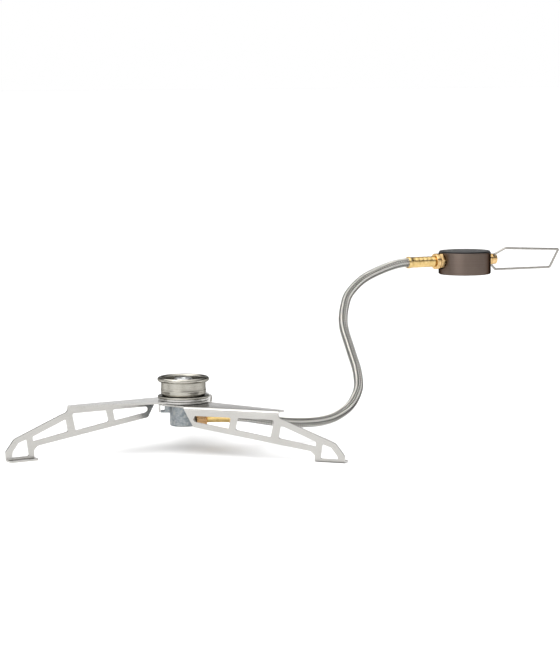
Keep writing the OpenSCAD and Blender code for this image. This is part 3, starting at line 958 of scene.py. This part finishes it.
def add_ring(material, cap_material, core_material):
    """The turned ring with its underside groove, the nut's spot face and the pocket for the stem's bush."""
    chamber = (VALVE_HEIGHT - GROUND) / MM + 1
    outline = rounded([
        (0, chamber, 0), (2.5, chamber, 0), (2.5, SPIGOT_Z, 0), (8.0, SPIGOT_Z, 0), (8.0, SKIRT_Z, 0),
        (15.6, SKIRT_Z, 0.5), (15.6, RING_Z, 0.15), (RING_R - 0.55, RING_Z, 0.12),
        (RING_R, RING_Z + 0.6, 0.2), (RING_R, CAP_Z - 0.3, 0.05), (RING_R - 0.3, CAP_Z, 0),
        (10.5, CAP_Z, 0), (10.5, CAP_Z - 1.2, 0), (0, CAP_Z - 1.2, 0)], 0.2, 4)
    ring = lathe("coupler_ring", outline, material, COUPLER, 192, 28)
    spot = [(0, COUPLER_SEAT), (5.05, COUPLER_SEAT), (5.05, 20), (0, 20)]
    face = lathe("cut_spot", spot, material, HOSE_SIDE, 96)
    pocket = lathe("cut_pocket", [(0, 11), (3.8, 11), (3.8, 20), (0, 20)], material, VALVE_AXIS, 64)
    put(carve(ring, face, pocket), "base", "anodised_ring", "coupler_body")
    top = CAP_Z + CAP_T
    cap = rounded([(0, CAP_Z - 1.2, 0), (10.4, CAP_Z - 1.2, 0), (10.4, CAP_Z, 0), (RING_R - 0.32, CAP_Z, 0),
                   (RING_R - 0.34, top - 0.35, 0.2), (RING_R - 0.7, top, 0.25), (0, top, 0)], 0.2)
    put(lathe("coupler_cap_disc", cap, cap_material, COUPLER, 192, 30), "base", "black_cap", "coupler_cap")

    def core(angle):
        rows = thread_rows(5.2 - THREAD_DEPTH * 0.4, -1, RING_Z + 0.5, RING_Z + 3.8, angle, 0.6)
        roof = [(10, SKIRT_Z), (8, SKIRT_Z), (8, SPIGOT_Z - 0.05), (1.4, SPIGOT_Z - 0.05),
                (1.4, SPIGOT_Z - 0.8), (5.6, SPIGOT_Z - 0.8), (5.6, RING_Z + 3.8)]
        return roof + rows[::-1] + [(5.6, RING_Z + 0.05), (5.7, RING_Z), (9.8, RING_Z), (10, RING_Z + 0.2)]
    threaded = lathe("coupler_core_threaded", core, core_material, COUPLER, 144, 28)
    put(threaded, "base", "core_metal", "coupler_core")


def leaned():
    """The handle's own plane: along the valve axis, leaned over, with its origin at the cross hole."""
    return (Matrix.Translation(VALVE_POINT) @ Matrix.Rotation(VALVE_TURN, 4, "Z")
            @ Matrix.Rotation(math.radians(-LOOP_LEAN), 4, "X") @ Matrix.Translation((HINGE_AT * MM, 0, 0)))


def add_stem(material):
    """The valve's stem: a drum outside the ring, cross-drilled for the wire handle."""
    drum = lathe("stem_drum", [
        (0, 2.8), (0.6, 2.8), (0.7, 4.4), (2.2, 5.9), (2.2, 8.8), (1.5, 8.9), (1.5, 10.1), (2.2, 10.2),
        (2.2, 17.0), (3.1, 17.0), (3.4, 17.3), (3.4, 18.4), (3.3, 18.55), (3.3, 18.75), (3.4, 18.9),
        (3.4, STEM_END - 0.6), (3.3, STEM_END - 0.3), (2.9, STEM_END), (0, STEM_END)],
        material, VALVE_AXIS, 96, 35)
    hole = leaned() @ Matrix.Rotation(math.radians(90), 4, "X")
    turned = hole.to_euler("XYZ")
    drill = lathe("cut_hole", [(0, -6), (0.8, -6), (0.8, 6), (0, 6)], material,
                  (tuple(hole.translation), (turned.x, turned.y, turned.z)), 32)
    put(carve(drum, drill), "stem", "brass_fitting", "valve_stem")


def round_bends(points, radii, steps=7):
    """An open line with each inner corner turned into an arc.

    Vector.slerp gives unit vectors: every arc is 1 mm, and a radius over 1 moves the runs beside it inward.
    """
    made = [Vector(points[0])]
    for before, here, after, r in zip(points, points[1:], points[2:], radii):
        before, here, after = Vector(before), Vector(here), Vector(after)
        one, two = (before - here).normalized(), (after - here).normalized()
        half = one.angle(two) / 2
        back = r / math.tan(half)
        centre = here + (one + two).normalized() * (r / math.sin(half))
        start, end = here + one * back - centre, here + two * back - centre
        for k in range(steps + 1):
            made.append(centre + start.slerp(end, k / steps))
    made.append(Vector(points[-1]))
    return made


def add_handle(material):
    """The wire loop, sprung into the stem's cross hole, in its leaned plane."""
    half = [(0, 1), (0, 4.3), (5.4, 10.2), (46.1, 9.1)]
    bends = [Vector((s, t, 0)) for s, t in half + [(s, -t) for s, t in reversed(half)]]
    path = round_bends(bends, [1.0, 1.6, 1.9, 1.9, 1.6, 1.0])
    place = leaned() @ Matrix.Rotation(math.radians(LOOP_SWING), 4, "Y")
    sides = 20
    up = Vector((0, 0, 1))
    vertices, faces = [], []
    for i, here in enumerate(path):
        run = (path[min(i + 1, len(path) - 1)] - path[max(i - 1, 0)]).normalized()
        out = run.cross(up)
        for k in range(sides):
            a = TAU * k / sides
            spot = here + WIRE_R * (math.cos(a) * out + math.sin(a) * up)
            vertices.append(place @ (spot * MM))
    for i in range(len(path) - 1):
        for k in range(sides):
            n = (k + 1) % sides
            faces.append((i * sides + k, i * sides + n, (i + 1) * sides + n, (i + 1) * sides + k))
    faces.append(tuple(range(sides)))
    faces.append(tuple((len(path) - 1) * sides + k for k in range(sides)))
    put(add_mesh("handle_wire", vertices, faces, material, 45), "handle", "wire_steel", "wire_handle")


def dress(material, *nodes):
    """Gives CAD nodes that are kept as they are their material."""
    for name in nodes:
        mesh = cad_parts[name].data
        mesh.materials.clear()
        mesh.materials.append(material)


# -------------------- floor and light

def add_floor():
    """A wide pale floor that runs out to the horizon."""
    mesh = bpy.data.meshes.new("floor")
    half = 40
    cells = 8
    row = cells + 1
    side = [half * (2 * i / cells - 1) for i in range(row)]
    vertices = [(x, y, GROUND) for y in side for x in side]
    corners = [j * row + i for j in range(cells) for i in range(cells)]
    faces = [(a, a + 1, a + row + 1, a + row) for a in corners]
    mesh.from_pydata(vertices, [], faces)
    floor = bpy.data.objects.new("floor", mesh)
    paper = Shader("floor_paper", (0.95, 0.95, 0.95), 0.0, 0.85)
    cloud = paper.noise(0.004, detail=2)
    paper.colour(paper.ramp(cloud, (0.3, (0.94, 0.94, 0.94)), (0.7, (0.96, 0.96, 0.96))))
    mesh.materials.append(paper.material)
    bpy.context.scene.collection.objects.link(floor)


def add_softbox(name, location, target, size, power):
    """A rectangular lamp turned to face a point."""
    data = bpy.data.lights.new(name, "AREA")
    data.shape = "RECTANGLE"
    data.size, data.size_y = size
    data.energy = power
    lamp = bpy.data.objects.new(name, data)
    lamp.location = location
    lamp.rotation_euler = (Vector(target) - Vector(location)).to_track_quat("-Z", "Y").to_euler()
    bpy.context.scene.collection.objects.link(lamp)


class Sky(Nodes):
    """The world's nodes. Every value is worked out from the direction that is looked in."""

    def __init__(self):
        self.world = bpy.data.worlds.new("studio")
        self.world.use_nodes = True
        super().__init__(self.world.node_tree)
        self.direction = self.node("ShaderNodeTexCoord").outputs["Generated"]
        apart = self.node("ShaderNodeSeparateXYZ")
        self.link(self.direction, apart.inputs["Vector"])
        self.height = apart.outputs["Z"]

    def facing(self, towards):
        """How nearly the direction points towards the given one."""
        made = self.node("ShaderNodeVectorMath", operation="DOT_PRODUCT")
        made.inputs[1].default_value = towards
        self.link(self.direction, made.inputs[0])
        return made.outputs["Value"]


def add_light():
    """A soft sky, pale at the horizon, dim above it and bright overhead, and one large lamp."""
    sky = Sky()
    greys = ((0.0, 1.0), (0.28, 1.0), (0.34, 0.06), (0.5, 0.16), (0.72, 1.0), (1.0, 1.0))
    colour = sky.ramp(sky.height, *((height, (grey,) * 3) for height, grey in greys))
    soft = {"interpolation_type": "SMOOTHSTEP"}
    overhead = sky.spread(sky.height, 1.0, 2.1, 0.5, 0.8, **soft)
    window = sky.spread(sky.facing((-0.51, -0.79, 0.34)), 0.0, 0.8, 0.88, 0.95, **soft)
    # Above the horizon, the left of the picture is brighter than the right
    lift = sky.spread(sky.height, 0.0, 0.85, 0.16, 0.4)
    uneven = sky.math("MULTIPLY_ADD", sky.facing((-0.75, -0.65, 0)), lift, 1.0)
    strength = sky.math("ADD", sky.math("MULTIPLY", overhead, uneven), window)
    background = sky.tree.nodes["Background"]
    sky.link(colour, background.inputs["Color"])
    sky.link(strength, background.inputs["Strength"])
    bpy.context.scene.world = sky.world
    add_softbox("key", (-0.5, -0.7, 0.8), (0.06, 0.05, 0), (0.7, 0.7), 2.5)


# -------------------- the object

add_camera()
add_hose()
add_legs()
# Painted light: the hub's nut and ferrule brass are painted lighter than the coupler's brass of the same
# kind, where the hub sits in shade.
hub_brass_painted_lighter = turned_brass("hub_brass_painted_lighter", OUTLET_AXIS, (0.92, 0.58, 0.3), (0.76, 0.45, 0.2))
ferrule_brass = turned_brass("ferrule_brass", OUTLET_AXIS, (0.88, 0.64, 0.27), (0.68, 0.47, 0.15))
far_brass = turned_brass("far_brass", VALVE_AXIS, (0.72, 0.5, 0.25), (0.52, 0.33, 0.13))
far_ferrule_brass = turned_brass("far_ferrule_brass", VALVE_AXIS, (0.76, 0.56, 0.26), (0.56, 0.39, 0.15))
steel = cup_steel()
wire = drawn_wire()
rubber = seal_rubber()
add_hub(cast_hub())
add_cup(steel)
add_post(post_metal())
add_fittings(hub_brass_painted_lighter, ferrule_brass, far_brass, far_ferrule_brass)
add_ring(anodised_ring(), black_cap(), machined_core())
add_stem(far_brass)
add_handle(wire)
dress(dark_steel(), "lower_washer", "upper_washer", "wave_washer")
dress(rubber, "post_seal", "coupler_seal", "stem_seal")
dress(hub_brass_painted_lighter, "hub_barb")
dress(far_brass, "coupler_barb", "gland_bush")
dress(wire, "depressor_pin")
add_floor()
add_light()
bpy.context.scene.view_settings.view_transform = "Standard"
